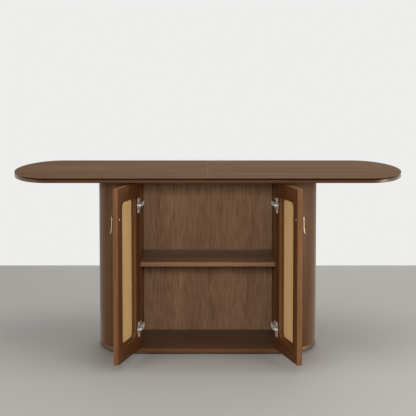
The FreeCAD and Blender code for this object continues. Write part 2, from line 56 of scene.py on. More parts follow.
def blank_material(name):
    mat = bpy.data.materials.new(name)
    mat.use_nodes = True
    tree = mat.node_tree
    tree.nodes.clear()
    out = tree.nodes.new("ShaderNodeOutputMaterial")
    shader = tree.nodes.new("ShaderNodeBsdfPrincipled")
    tree.links.new(shader.outputs["BSDF"], out.inputs["Surface"])
    return mat, tree, shader


def grain_vector(tree, turn=(0, 0, 0), shift=(0, 0, 0)):
    """Object coordinates turned so that the grain runs along X."""
    coord = tree.nodes.new("ShaderNodeTexCoord")
    mapping = tree.nodes.new("ShaderNodeMapping")
    mapping.inputs["Rotation"].default_value = turn
    mapping.inputs["Location"].default_value = shift
    tree.links.new(coord.outputs["Object"], mapping.inputs["Vector"])
    return mapping.outputs["Vector"]


def stretched_noise(tree, vector, scale, detail, rough=0.5, warp=0.0):
    """Noise drawn out along the grain: scale gives the waves per metre along X, Y and Z."""
    stretch = tree.nodes.new("ShaderNodeMapping")
    stretch.inputs["Scale"].default_value = scale
    tree.links.new(vector, stretch.inputs["Vector"])
    noise = tree.nodes.new("ShaderNodeTexNoise")
    noise.inputs["Scale"].default_value = 1.0
    noise.inputs["Detail"].default_value = detail
    noise.inputs["Roughness"].default_value = rough
    noise.inputs["Distortion"].default_value = warp
    tree.links.new(stretch.outputs["Vector"], noise.inputs["Vector"])
    return noise.outputs["Fac"]


def blend_values(tree, first, second, share):
    mix = tree.nodes.new("ShaderNodeMix")
    mix.data_type = "FLOAT"
    mix.inputs["Factor"].default_value = share
    tree.links.new(first, mix.inputs[2])
    tree.links.new(second, mix.inputs[3])
    return mix.outputs[0]


def colour_ramp(tree, value, stops):
    ramp = tree.nodes.new("ShaderNodeValToRGB")
    ramp.color_ramp.interpolation = "EASE"
    while len(ramp.color_ramp.elements) < len(stops):
        ramp.color_ramp.elements.new(0.5)
    for element, (place, colour) in zip(ramp.color_ramp.elements, stops):
        element.position = place
        element.color = (*colour, 1.0)
    tree.links.new(value, ramp.inputs["Fac"])
    return ramp.outputs["Color"]


def value_range(tree, value, low, high, to_low, to_high):
    span = tree.nodes.new("ShaderNodeMapRange")
    for key, number in (("From Min", low), ("From Max", high),
                        ("To Min", to_low), ("To Max", to_high)):
        span.inputs[key].default_value = number
    tree.links.new(value, span.inputs["Value"])
    return span.outputs["Result"]


def two_tones(tree, shader, value, dark, light):
    """Colour that goes from a dark tone to a light one as the noise rises."""
    tree.links.new(colour_ramp(tree, value, [(LOW, dark), (HIGH, light)]), shader.inputs["Base Color"])


def dull_to_glossy(tree, shader, value, dull, glossy):
    """Roughness that falls as the noise rises."""
    tree.links.new(value_range(tree, value, LOW, HIGH, dull, glossy), shader.inputs["Roughness"])


def bump(tree, shader, height, strength, distance):
    node = tree.nodes.new("ShaderNodeBump")
    node.inputs["Strength"].default_value = strength
    node.inputs["Distance"].default_value = distance
    tree.links.new(height, node.inputs["Height"])
    tree.links.new(node.outputs["Normal"], shader.inputs["Normal"])


def grain_tones(*colours):
    """Colour stops from the darkest grain to the lightest."""
    return list(zip((0.34, 0.45, 0.55, 0.66), colours))


def tinted(stops, tint):
    """The same figure in another tone: paler for painted light, darker for painted shade."""
    return [(place, tuple(part * share for part, share in zip(colour, tint))) for place, colour in stops]


WALNUT = grain_tones(
    (0.092, 0.044, 0.022), (0.168, 0.087, 0.045), (0.215, 0.116, 0.062), (0.288, 0.168, 0.097))
WARM_WALNUT = grain_tones(
    (0.066, 0.026, 0.009), (0.120, 0.053, 0.020), (0.152, 0.071, 0.029), (0.205, 0.105, 0.047))
# Painted shade: a darker walnut for the low base board, in the shade at the cabinet's foot
SHADED_LOW_WALNUT = grain_tones(
    (0.052, 0.022, 0.009), (0.096, 0.044, 0.019), (0.122, 0.058, 0.026), (0.165, 0.085, 0.042))
# Painted shade: the top's edge is far darker than its face, as an edge that faces the front gets little light
EDGE_SHADE_TONES = grain_tones(
    (0.024, 0.010, 0.004), (0.041, 0.017, 0.007), (0.054, 0.024, 0.010), (0.076, 0.037, 0.017))
# Painted shade: the top's face is a darker copy of the walnut, to take back the light that falls on it from
# above
TOP_SHADED_WALNUT = tinted(WALNUT, (0.71, 0.74, 0.75))
# Painted light: the back panel, deep inside the cabinet, is a paler copy of the walnut that makes up for the
# little light reaching it
BACK_LIT_WALNUT = tinted(WALNUT, (1.32, 1.40, 1.48))
# Painted shade: the end shells are darker copies of the walnut, the left one darker still, as if the light came
# from the right
LEFT_END_SHADED_WALNUT = tinted(WALNUT, (0.51, 0.42, 0.33))
RIGHT_END_SHADED_WALNUT = tinted(WALNUT, (0.57, 0.47, 0.37))
# Painted shade, darker still, for the base board
BASE_BOARD_SHADED_WALNUT = tinted(SHADED_LOW_WALNUT, (0.86, 0.82, 0.76))
# Painted highlight: a paler copy of the walnut on the seam's small bevel, so that it shows as a light line
SEAM_HIGHLIGHT_WALNUT = tinted(WALNUT, (1.2, 1.27, 1.37))
# Painted shadow on the upper part of the edge under the arris, and a paler band below it where the hollow turns
# up to the light: shaded and lit copies of the edge's tone
EDGE_SHADOW_LINE = tinted(EDGE_SHADE_TONES, (0.36, 0.34, 0.32))
EDGE_SHADE_BAND = tinted(EDGE_SHADE_TONES, (1.3, 1.26, 1.22))
# Painted shade: the door's inner faces are a darker copy of its wood, as they lie in the cabinet's shade
INSIDE_SHADED_WALNUT = tinted(WARM_WALNUT, (0.60, 0.45, 0.31))
# Painted shade: the cane bead on the door's inner side is a darker copy of the door's wood
BEAD_SHADED_WALNUT = tinted(WARM_WALNUT, (0.84, 0.72, 0.58))

UPRIGHT = (0, QUARTER, 0)
STREAK_SHARE, FIBRE_SHARE = 0.62, 0.34
PORE_SHADE = (0.46, 0.38, 0.32, 1)
RIM_TINT = (1.0, 0.84, 0.7, 1.0)


def walnut(name, turn=(0, 0, 0), shift=(0, 0, 0), stops=WALNUT, rough=0.56, sheen=0.1, rim=0.0, fleck=2.6):
    """Oiled walnut: broad figure, narrow streaks, fibres and open pores, all drawn along the grain. Sheen is
    the specular level, rim the soft shine at a flat angle, and fleck the streaks' waves per metre of grain."""
    mat, tree, shader = blank_material(name)
    vector = grain_vector(tree, turn, shift)
    figure = stretched_noise(tree, vector, (1.0, 15, 15), detail=3, warp=0.5)
    streak = stretched_noise(tree, vector, (fleck, 110, 110), detail=4, rough=0.62, warp=0.2)
    fibre = stretched_noise(tree, vector, (20, 620, 620), detail=3, rough=0.65)
    pore = stretched_noise(tree, vector, (48, 1500, 1500), detail=2)
    tone = blend_values(tree, blend_values(tree, figure, streak, STREAK_SHARE), fibre, FIBRE_SHARE)
    darken = tree.nodes.new("ShaderNodeMix")
    darken.data_type = "RGBA"
    darken.blend_type = "MULTIPLY"
    tree.links.new(value_range(tree, pore, 0.58, 0.7, 0.0, 0.55), darken.inputs["Factor"])
    tree.links.new(colour_ramp(tree, tone, stops), darken.inputs[6])
    darken.inputs[7].default_value = PORE_SHADE
    tree.links.new(darken.outputs[2], shader.inputs["Base Color"])
    dull_to_glossy(tree, shader, fibre, rough + 0.08, rough - 0.06)
    shader.inputs["Specular IOR Level"].default_value = sheen
    shader.inputs["Sheen Weight"].default_value = rim
    shader.inputs["Sheen Roughness"].default_value = 0.3
    shader.inputs["Sheen Tint"].default_value = RIM_TINT
    bump(tree, shader, blend_values(tree, fibre, pore, 0.5), strength=0.22, distance=0.4 * MM)
    return mat


def dowel_beech():
    mat, tree, shader = blank_material("beech_dowel")
    fibre = stretched_noise(tree, grain_vector(tree), (300, 300, 300), detail=3)
    two_tones(tree, shader, fibre, (0.42, 0.28, 0.15), (0.58, 0.42, 0.25))
    shader.inputs["Roughness"].default_value = 0.6
    return mat


# Painted shade: near black, so that the recessed plinth reads as the dark gap under the base
def plinth_shade_black():
    mat, tree, shader = blank_material("plinth_black_painted_shade")
    fibre = stretched_noise(tree, grain_vector(tree), (8, 260, 260), detail=4)
    two_tones(tree, shader, fibre, (0.008, 0.007, 0.006), (0.02, 0.018, 0.016))
    shader.inputs["Roughness"].default_value = 0.65
    bump(tree, shader, fibre, strength=0.2, distance=0.4 * MM)
    return mat


CANE_TONES = [(0.2, (0.45, 0.265, 0.108)), (0.5, (0.60, 0.375, 0.168)), (0.8, (0.73, 0.51, 0.26))]


def woven_cane():
    """Split cane: each strand has its own tone, with fine fibres along it."""
    mat, tree, shader = blank_material("woven_cane")
    tone = tree.nodes.new("ShaderNodeAttribute")
    tone.attribute_name = "strand_tone"
    along = tree.nodes.new("ShaderNodeAttribute")
    along.attribute_name = "strand_run"
    fibre = stretched_noise(tree, along.outputs["Vector"], (60, 2400, 900), detail=3, rough=0.6)
    mixed = blend_values(tree, tone.outputs["Fac"], fibre, 0.5)
    tree.links.new(colour_ramp(tree, mixed, CANE_TONES), shader.inputs["Base Color"])
    dull_to_glossy(tree, shader, fibre, 0.56, 0.42)
    shader.inputs["Specular IOR Level"].default_value = 0.3
    bump(tree, shader, fibre, strength=0.3, distance=0.2 * MM)
    return mat


def brushed_metal(name, dark, light, rough, scale, metal=1.0):
    mat, tree, shader = blank_material(name)
    brush = stretched_noise(tree, grain_vector(tree), scale, detail=3, rough=0.6)
    two_tones(tree, shader, brush, dark, light)
    dull_to_glossy(tree, shader, brush, rough + 0.06, rough - 0.05)
    shader.inputs["Metallic"].default_value = metal
    bump(tree, shader, brush, strength=0.06, distance=0.1 * MM)
    return mat


BEECH = dowel_beech()
PLINTH_SHADE_BLACK = plinth_shade_black()
CANE = woven_cane()
NICKEL = brushed_metal("nickel_plate", (0.76, 0.70, 0.63), (0.88, 0.82, 0.75), 0.46, (900, 900, 60), 0.5)
# Painted shade: a dark steel for the inside of the cup's bowl and for the mounting plate, which lie in shade
SHADE_DARK_STEEL = brushed_metal("steel_painted_shade", (0.30, 0.28, 0.255), (0.40, 0.37, 0.34), 0.5, (700, 700, 700), 0.5)
STEEL = brushed_metal("zinc_steel", (0.56, 0.54, 0.51), (0.72, 0.70, 0.66), 0.34, (700, 700, 700))
CHAMPAGNE = brushed_metal("champagne_metal", (0.66, 0.51, 0.38), (0.80, 0.65, 0.50), 0.32, (1200, 1200, 90))
INNER_WOOD = walnut("walnut_inner", shift=(8.2, 0.3, 1.1), rough=0.6)

for node_name in nodes:
    mesh = nodes[node_name].data
    mesh.materials.clear()
    if node_name.startswith("hinge_links"):
        mesh.materials.append(NICKEL)
    elif node_name.endswith("dowels"):
        mesh.materials.append(BEECH)
    else:
        mesh.materials.append(INNER_WOOD)


# Drawing tools

SMOOTH_BELOW, SHARP_ABOVE = math.radians(32), math.radians(50)
OVAL_STEPS = 320


def everything(bm):
    return bm.verts[:] + bm.edges[:] + bm.faces[:]


def verts_of(geom):
    return [g for g in geom if isinstance(g, bmesh.types.BMVert)]


def edges_of(geom):
    return [g for g in geom if isinstance(g, bmesh.types.BMEdge)]


def verts_at(faces):
    return list(dict.fromkeys(vert for face in faces for vert in face.verts))


def edges_at(verts):
    return list(dict.fromkeys(edge for vert in verts for edge in vert.link_edges))


def edges_along(edges, axis):
    """The edges that run along X, Y or Z, given as 0, 1 or 2."""
    return [e for e in edges if abs(e.verts[0].co[axis] - e.verts[1].co[axis]) > 1 * MM]


def faces_where(bm, chosen):
    """The faces whose middle passes a test."""
    return [f for f in bm.faces if chosen(f.calc_center_median())]


def finish_piece(name, bm, body, mats, replaced, place=None, smooth=True):
    """Turn a drawing into a piece that rides on a body and stands for some CAD nodes."""
    if place is not None:
        bmesh.ops.transform(bm, matrix=place, verts=bm.verts)
    bmesh.ops.dissolve_degenerate(bm, dist=WELD, edges=bm.edges)
    bmesh.ops.recalc_face_normals(bm, faces=bm.faces)
    mesh = bpy.data.meshes.new(name)
    bm.to_mesh(mesh)
    bm.free()
    for mat in mats:
        mesh.materials.append(mat)
    if smooth:
        mesh.shade_smooth()
        mesh.set_sharp_from_angle(angle=SMOOTH_BELOW)
    piece = bpy.data.objects.new(name, mesh)
    scene.collection.objects.link(piece)
    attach(piece, body)
    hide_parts(*replaced)


def thicken(bm, faces, step):
    """Give faces a thickness along a vector, and keep them as the first side."""
    made = bmesh.ops.extrude_face_region(bm, geom=list(faces), use_keep_orig=True)["geom"]
    bmesh.ops.translate(bm, vec=step, verts=verts_of(made))


def round_corners(bm, corners, radius, steps=8):
    bmesh.ops.bevel(bm, geom=corners, offset=radius, offset_type="OFFSET", affect="VERTICES",
                    segments=steps, profile=0.5, material=-1)


def round_edges(bm, edges, radius, steps):
    bmesh.ops.bevel(bm, geom=edges, offset=radius, offset_type="OFFSET", affect="EDGES", segments=steps,
                    profile=0.5, clamp_overlap=True, material=-1)


def ease(bm, width, steps=2):
    """Round every sharp edge."""
    bmesh.ops.recalc_face_normals(bm, faces=bm.faces)
    sharp = [e for e in bm.edges if len(e.link_faces) == 2 and e.calc_face_angle() > SHARP_ABOVE]
    round_edges(bm, sharp, width, steps)


def slice_at(bm, point, normal, clear=False):
    """Cut every face along a plane, and with clear drop what lies on the side of the normal."""
    bmesh.ops.bisect_plane(bm, geom=everything(bm), dist=WELD, plane_co=point, plane_no=normal,
                           clear_outer=clear)


def block(bm, low, high):
    verts = bmesh.ops.create_cube(bm, size=1)["verts"]
    low, high = Vector(low), Vector(high)
    bmesh.ops.scale(bm, vec=high - low, verts=verts)
    bmesh.ops.translate(bm, vec=(low + high) / 2, verts=verts)


def carry_on(bm, loop, factor, lift):
    """Extrude an open loop, scale it about the Z axis and lift it. Gives the new loop."""
    made = bmesh.ops.extrude_edge_only(bm, edges=loop)["geom"]
    bmesh.ops.scale(bm, vec=(factor, factor, 1), verts=verts_of(made))
    bmesh.ops.translate(bm, vec=(0, 0, lift), verts=verts_of(made))
    return edges_of(made)


def turn_on(bm, loop, rings):
    """Follow a turned profile from a round loop and close it: rings are radius and height in mm."""
    for (radius, height), (next_radius, next_height) in zip(rings, rings[1:]):
        loop = carry_on(bm, loop, next_radius / radius, (next_height - height) * MM)
    bmesh.ops.contextual_create(bm, geom=loop)


def repeat(bm, places):
    """Put what is drawn so far at each of several places."""
    first = everything(bm)
    for place in places[1:]:
        copy = bmesh.ops.duplicate(bm, geom=first)["geom"]
        bmesh.ops.transform(bm, matrix=place, verts=verts_of(copy))
    bmesh.ops.transform(bm, matrix=places[0], verts=verts_of(first))


def half_oval(bm, bulge, half_depth, run):
    """A flat outline: half an ellipse to the left of x = 0, and a straight run to the right of it."""
    bmesh.ops.create_circle(bm, cap_ends=True, segments=OVAL_STEPS, radius=1)
    bmesh.ops.scale(bm, vec=(bulge, half_depth, 1), verts=bm.verts)
    slice_at(bm, (0, 0, 0), (1, 0, 0), True)
    chord = [e for e in bm.edges if all(abs(v.co.x) < NEAR for v in e.verts)]
    made = bmesh.ops.extrude_edge_only(bm, edges=chord)["geom"]
    bmesh.ops.translate(bm, vec=(run, 0, 0), verts=verts_of(made))


FLIP = Matrix.Scale(-1, 4, (1, 0, 0))


# Table top: two halves with a hollowed edge, that meet on a seam. The lines along the edge give the depth
# below the surface and the inset in mm. The seam's bevel and the painted shadow line's depths are in mm too

OVERALL_HEIGHT = 760 * MM
TOP_BULGE, HALF_TOP, TOP_CURVE_X = 172 * MM, 381 * MM, 655.5 * MM
SEAM_BEVEL, SHADOW_LINE_STARTS, SHADOW_LINE_ENDS = 1.2, 0.8, 8
EDGE_LINES = [(0, 2.2), (0.25, 1.2), (0.8, 0.45), (1.6, 0.08), (2.6, 0), (3.2, 0.25), (4.1, 1.05),
              (5.2, 1.6), (6.6, 1.8), (8.4, 1.7), (10.4, 1.45), (12.6, 1.05), (15, 0.5), (17, 0.05),
              (18.2, 0.1), (19.1, 0.5), (19.7, 1.2), (20, 2.2)]
# The edge's woods carry painted shade, the line a painted shadow
EDGE_SHADE_WOOD, SEAM_HIGHLIGHT_WOOD, SHADOW_LINE_WOOD = 1, 2, 3    # places in the list that top_woods gives


def top_half():
    """The left half: its face, then the edge followed down from line to line, and the underside."""
    bm = bmesh.new()
    depth, inset = EDGE_LINES[0]
    seam = SEAM_BEVEL
    half_oval(bm, TOP_BULGE - inset * MM, HALF_TOP - inset * MM, TOP_CURVE_X - seam * MM)
    loop = [e for e in bm.edges if e.is_boundary]
    for next_depth, next_inset in EDGE_LINES[1:]:
        next_seam = max(SEAM_BEVEL - next_depth, 0)
        made = bmesh.ops.extrude_edge_only(bm, edges=loop)["geom"]
        loop, line = edges_of(made), verts_of(made)
        grow_x = (TOP_BULGE - next_inset * MM) / (TOP_BULGE - inset * MM)
        grow_y = (HALF_TOP - next_inset * MM) / (HALF_TOP - inset * MM)
        bmesh.ops.translate(bm, vec=(0, 0, (depth - next_depth) * MM), verts=line)
        bmesh.ops.scale(bm, vec=(1, grow_y, 1), verts=line)
        bmesh.ops.scale(bm, vec=(grow_x, 1, 1), verts=[v for v in line if v.co.x < 0])
        at_seam = [v for v in line if v.co.x > TOP_CURVE_X / 2]
        bmesh.ops.translate(bm, vec=((seam - next_seam) * MM, 0, 0), verts=at_seam)
        depth, inset, seam = next_depth, next_inset, next_seam
    for face in bm.faces:
        middle = face.calc_center_median()
        # The seam's bevel takes the painted highlight
        if abs(middle.y) < PICK and middle.x > TOP_CURVE_X - 3 * MM:
            face.material_index = SEAM_HIGHLIGHT_WOOD
        # Faces below the line take the shaded edge, faces within it the painted shadow line
        elif middle.z < -SHADOW_LINE_ENDS * MM:
            face.material_index = EDGE_SHADE_WOOD
        elif middle.z < -SHADOW_LINE_STARTS * MM:
            face.material_index = SHADOW_LINE_WOOD
    bmesh.ops.contextual_create(bm, geom=loop)
    bmesh.ops.translate(bm, vec=(-TOP_CURVE_X, 0, OVERALL_HEIGHT), verts=bm.verts)
    return bm


def top_woods(side, shift):
    """The matt face of one half and its glossier edge, both darkened as painted shade, the seam's bevel with a
    painted highlight and the painted shadow line under the arris.
    """
    return [walnut("walnut_top_" + side, shift=shift, stops=TOP_SHADED_WALNUT, rough=0.72, sheen=0.03),
            walnut("walnut_top_edge_shade_" + side, shift=shift, stops=EDGE_SHADE_BAND, rough=0.34, sheen=0.15, rim=0.5),
            walnut("walnut_top_seam_highlight_" + side, shift=shift, stops=SEAM_HIGHLIGHT_WALNUT),
            walnut("walnut_top_shadow_line_" + side, shift=shift, stops=EDGE_SHADOW_LINE, rough=0.34, sheen=0.05, rim=0.3)]


for side, shift, place in (("left", (0.3, 0.11, 0.0), None), ("right", (4.1, 1.37, 0.4), FLIP)):
    finish_piece("top_slab_" + side, top_half(), "table", top_woods(side, shift),
                 ["top_" + side], place)


# Base: boards with eased edges, curved end shells and a near-black plinth as painted shade

BASE_BULGE, HALF_BASE, BASE_CURVE_X = 132 * MM, 225 * MM, 336 * MM
SHELL_EDGE, SHELL_THICK, SHELL_FOOT, SHELL_HEAD = 303.3 * MM, 12 * MM, 25 * MM, 740 * MM
PLINTH_INSET = 14 * MM
BOARD_EASE, PLINTH_EASE, SHELL_EASE = 0.9 * MM, 0.5 * MM, 0.6 * MM


def eased_board(node):
    """A board in a node's place, with its edges eased as by sandpaper."""
    bm = bmesh.new()
    block(bm, *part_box(node))
    ease(bm, BOARD_EASE, 3)
    return bm


def oval_board(node, inset, width):
    """A board with two half-elliptical ends, in a node's height."""
    bm = bmesh.new()
    low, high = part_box(node)
    half_oval(bm, BASE_BULGE - inset, HALF_BASE - inset, BASE_CURVE_X)
    bmesh.ops.translate(bm, vec=(-BASE_CURVE_X, 0, low[2]), verts=bm.verts)
    bmesh.ops.mirror(bm, geom=everything(bm), axis="X", merge_dist=NEAR)
    thicken(bm, bm.faces[:], (0, 0, high[2] - low[2]))
    ease(bm, width, 3)
    return bm


def end_shell():
    """The left end of the base: a bent panel that runs round from the front to the back."""
    bm = bmesh.new()
    half_oval(bm, BASE_BULGE, HALF_BASE, BASE_CURVE_X - SHELL_EDGE)
    bmesh.ops.delete(bm, geom=bm.faces[:], context="FACES_ONLY")
    across = [e for e in bm.edges
              if abs(e.verts[0].co.x - e.verts[1].co.x) < NEAR and e.calc_length() > HALF_BASE]
    bmesh.ops.delete(bm, geom=across, context="EDGES")
    outer = bm.edges[:]
    inner = bmesh.ops.duplicate(bm, geom=everything(bm))["geom"]
    line = verts_of(inner)
    bmesh.ops.scale(bm, vec=(1, 1 - SHELL_THICK / HALF_BASE, 1), verts=line)
    bmesh.ops.scale(bm, vec=(1 - SHELL_THICK / BASE_BULGE, 1, 1), verts=[v for v in line if v.co.x < 0])
    bmesh.ops.bridge_loops(bm, edges=outer + edges_of(inner))
    bmesh.ops.translate(bm, vec=(-BASE_CURVE_X, 0, SHELL_FOOT), verts=bm.verts)
    thicken(bm, bm.faces[:], (0, 0, SHELL_HEAD - SHELL_FOOT))
    ease(bm, SHELL_EASE)
    return bm


for node_name, wood in {
    "shelf": walnut("walnut_shelf", shift=(2.2, 0.7, 0.2), rough=0.42, sheen=0.35, rim=0.03),
    "cap_board": walnut("walnut_cap", shift=(6.4, 0.9, 0.9)),
    # The back panel's wood is paler: painted light
    "back_panel": walnut("walnut_back", UPRIGHT, (0.0, 3.1, 1.8), BACK_LIT_WALNUT, fleck=13),
    "rear_panel": walnut("walnut_rear", UPRIGHT, (0.0, 5.2, 2.9)),
    "side_panel_left": walnut("walnut_side_left", UPRIGHT, (1.0, 7.7, 0.8), WARM_WALNUT),
    "side_panel_right": walnut("walnut_side_right", UPRIGHT, (3.0, 8.3, 3.8), WARM_WALNUT),
}.items():
    finish_piece(node_name + "_wood", eased_board(node_name), "table", [wood], [node_name])
# The base board's wood is darkened: painted shade
base_wood = walnut("walnut_base", shift=(1.4, 2.7, 0.6), stops=BASE_BOARD_SHADED_WALNUT, rough=0.44, sheen=0.25, rim=0.05)
finish_piece("base_board_wood", oval_board("base_board", 0, BOARD_EASE), "table", [base_wood],
             ["base_board"])
# The plinth is near black: painted shade
finish_piece("plinth_wood", oval_board("plinth", PLINTH_INSET, PLINTH_EASE), "table", [PLINTH_SHADE_BLACK],
             ["plinth"])
# The end shells' woods carry painted shade, deeper on the left
for side, shift, stops, place in (("left", (0.5, 9.1, 4.8), LEFT_END_SHADED_WALNUT, None),
                                  ("right", (2.5, 9.9, 6.1), RIGHT_END_SHADED_WALNUT, FLIP)):
    wood = walnut("walnut_end_" + side, UPRIGHT, shift, stops, rough=0.54, sheen=0.045, rim=0.55)
    finish_piece("end_shell_wood_" + side, end_shell(), "table", [wood], ["end_shell_" + side], place)


# Screws and shelf pins, drawn with the head up on the XY plane. A screw's size is the head's radius and height,
# the shank's radius and the length, in mm

TOP_SCREW, PULL_SCREW = (4.5, 2.5, 2.25, 29), (4.25, 2.2, 2, 24)
CUP_SCREW, PLATE_SCREW = (3.5, 1.2, 1.75, 12), (4, 1.5, 2, 14)
CROSS_WIDE, HEAD_FLAT, RECESS_DEEP = 1.1, 0.72, 0.55    # shares of the head's radius and height
SCREW_POINT = 2
PIN_RINGS = [(1.7, 9), (2.2, 8.7), (2.5, 8), (2.5, 0.8), (3.5, 0.7), (3.6, 0.1), (2.5, 0), (2.5, -8)]
SIDE_FACE_X, UNDER_CAP, UNDER_SHELF = 285 * MM, 722 * MM, 368 * MM
PIN_RADIUS, PIN_Y = 2.5 * MM, (-142 * MM, 78 * MM)
TOP_SCREW_X, TOP_SCREW_Y = (60 * MM, 240 * MM), (-150 * MM, 100 * MM)


def cross_screw(head, height, shank, length):
    """A pan-head screw with a cross recess: a grid without its corners, sunk in a turned head."""
    bm = bmesh.new()
    bmesh.ops.create_grid(bm, x_segments=6, y_segments=6, size=0.5)
    corners = faces_where(bm, lambda middle: min(abs(middle.x), abs(middle.y)) > 1 / 6)
    bmesh.ops.delete(bm, geom=corners, context="FACES")
    wide = CROSS_WIDE * head * MM
    bmesh.ops.scale(bm, vec=(wide, wide, 1), verts=bm.verts)
    cross, rim = bm.faces[:], [e for e in bm.edges if e.is_boundary]
    ring = bmesh.ops.extrude_edge_only(bm, edges=rim)["geom"]
    for vert in verts_of(ring):
        vert.co = vert.co.normalized() * HEAD_FLAT * head * MM
    sunk = bmesh.ops.extrude_face_region(bm, geom=cross)["geom"]
    bmesh.ops.delete(bm, geom=cross, context="FACES_KEEP_BOUNDARY")
    bmesh.ops.translate(bm, vec=(0, 0, -RECESS_DEEP * height * MM), verts=verts_of(sunk))
    bmesh.ops.translate(bm, vec=(0, 0, height * MM), verts=bm.verts)
    turn_on(bm, edges_of(ring), [
        (HEAD_FLAT * head, height), (0.93 * head, 0.8 * height), (head, 0.45 * height), (head, 0),
        (shank, 0), (shank, SCREW_POINT - length), (0.3 * shank, -length)])
    return bm


def shelf_pin():
    """A round pin with a domed end and a thin collar against the side panel."""
    bm = bmesh.new()
    radius, height = PIN_RINGS[0]
    ring = bmesh.ops.create_circle(bm, cap_ends=True, segments=32, radius=radius * MM)["verts"]
    bmesh.ops.translate(bm, vec=(0, 0, height * MM), verts=ring)
    turn_on(bm, edges_at(ring), PIN_RINGS)
    return bm


def facing(axis, place):
    """A place for something drawn head up, with its head facing along an axis."""
    return Matrix.Translation(place) @ Vector(axis).to_track_quat("Z", "Y").to_matrix().to_4x4()


def screws_at(size, axis, places):
    """Screws of one size at several places, with their heads facing along an axis."""
    bm = cross_screw(*size)
    repeat(bm, [facing(axis, place) for place in places])
    return bm


pins = shelf_pin()
repeat(pins, [facing((-sign, 0, 0), (sign * SIDE_FACE_X, y, UNDER_SHELF - PIN_RADIUS))
              for sign in (-1, 1) for y in PIN_Y])
finish_piece("shelf_pin_set", pins, "table", [NICKEL], ["shelf_pins"])
top_screws = screws_at(TOP_SCREW, (0, 0, -1), [(sign * x, y, UNDER_CAP) for sign in (-1, 1)
                                               for x in TOP_SCREW_X for y in TOP_SCREW_Y])
finish_piece("top_screw_set", top_screws, "table", [STEEL], ["top_screws"])


# Doors, drawn shut from the hinge axis: X runs to the free edge, Y into the cabinet, Z up from the floor

DOOR_TURN = math.radians(104)
HINGE_AXIS = Matrix.Translation((-302 * MM, -225 * MM, 0))
OPENED = HINGE_AXIS @ Matrix.Rotation(-DOOR_TURN, 4, "Z")
ON_DOOR = {"left": OPENED, "right": FLIP @ OPENED}
ON_CABINET = {"left": HINGE_AXIS, "right": FLIP @ HINGE_AXIS}
TO_FRONT, TO_INSIDE = Matrix.Rotation(QUARTER, 4, "X"), Matrix.Rotation(-QUARTER, 4, "X")
HINGE_EDGE, FREE_EDGE = 0.5 * MM, 300.5 * MM
DOOR_FOOT, DOOR_HEAD, DOOR_DEEP, DOOR_EASE = 27 * MM, 731 * MM, 21 * MM, 1.2 * MM
STILE, LIP, LIP_DEEP, LIP_SET, CORNER = 58 * MM, 8 * MM, 2.5 * MM, 0.3 * MM, 28 * MM
CANE_DEEP, BEAD_DEEP, BEAD_CLEAR, BEAD_ROUND = 1.5 * MM, 6 * MM, 0.3 * MM, 1.8 * MM
CUP_X, HINGE_Z = 22.5 * MM, (113 * MM, 633 * MM)
POCKET_HALF, POCKET_RADIUS, POCKET_DEEP, POCKET_STEP = 18.8 * MM, 17.6 * MM, 12 * MM, 6 * MM


def face_between(bm, x, z, y):
    """One upright rectangle facing the front."""
    made = bmesh.ops.create_grid(bm, x_segments=1, y_segments=1, size=0.5)["verts"]
    bmesh.ops.scale(bm, vec=(x[1] - x[0], z[1] - z[0], 1), verts=made)
    place = Matrix.Translation(((x[0] + x[1]) / 2, y, (z[0] + z[1]) / 2)) @ TO_FRONT
    bmesh.ops.transform(bm, matrix=place, verts=made)
    return made[0].link_faces[0]


def ring_face(bm, inset, radius, width, y):
    """A flat ring that follows the door's edges at some inset, with round corners."""
    before = set(bm.faces)
    face = face_between(bm, (HINGE_EDGE + inset, FREE_EDGE - inset), (DOOR_FOOT + inset, DOOR_HEAD - inset), y)
    round_corners(bm, list(face.verts), radius)
    whole = [f for f in bm.faces if f not in before]
    ring = bmesh.ops.inset_region(bm, faces=whole, thickness=width, use_even_offset=True,
                                  use_boundary=True)["faces"]
    bmesh.ops.delete(bm, geom=whole, context="FACES_ONLY")
    return ring


def square_corners(bm, radius):
    """Bring the outer round corners of the door's ring out to the door's square outline."""
    for vert in bm.verts:
        x = min(max(vert.co.x, HINGE_EDGE + radius), FREE_EDGE - radius)
        z = min(max(vert.co.z, DOOR_FOOT + radius), DOOR_HEAD - radius)
        reach = Vector((vert.co.x - x, 0, vert.co.z - z))
        if reach.length > radius - 1 * MM:
            reach *= radius / max(abs(reach.x), abs(reach.z))
            vert.co = Vector((x, vert.co.y, z)) + reach


def cup_pocket(bm, z):
    """A round pocket for a hinge cup in the inner face of the hinge stile."""
    for end in (-POCKET_HALF, POCKET_HALF):
        slice_at(bm, (CUP_X + end, 0, 0), (1, 0, 0))
        slice_at(bm, (0, 0, z + end), (0, 0, 1))
    middle = Vector((CUP_X, DOOR_DEEP, z))
    patch = []
    for face in bm.faces:
        reach = face.calc_center_median() - middle
        if abs(reach.y) < NEAR and max(abs(reach.x), abs(reach.z)) < POCKET_HALF:
            patch.append(face)
    bmesh.ops.delete(bm, geom=patch, context="FACES")
    for cut in range(3):
        long = [e for e in bm.edges if e.is_boundary and e.calc_length() > POCKET_STEP]
        bmesh.ops.subdivide_edges(bm, edges=long, cuts=1)
    patch = bmesh.ops.contextual_create(bm, geom=[e for e in bm.edges if e.is_boundary])["faces"]
    bmesh.ops.inset_region(bm, faces=patch, thickness=POCKET_HALF - POCKET_RADIUS, use_even_offset=True)
    for vert in patch[0].verts:
        vert.co = middle + (vert.co - middle).normalized() * POCKET_RADIUS
    floor = bmesh.ops.extrude_discrete_faces(bm, faces=patch)["faces"]
    bmesh.ops.translate(bm, vec=(0, -POCKET_DEEP, 0), verts=floor[0].verts)


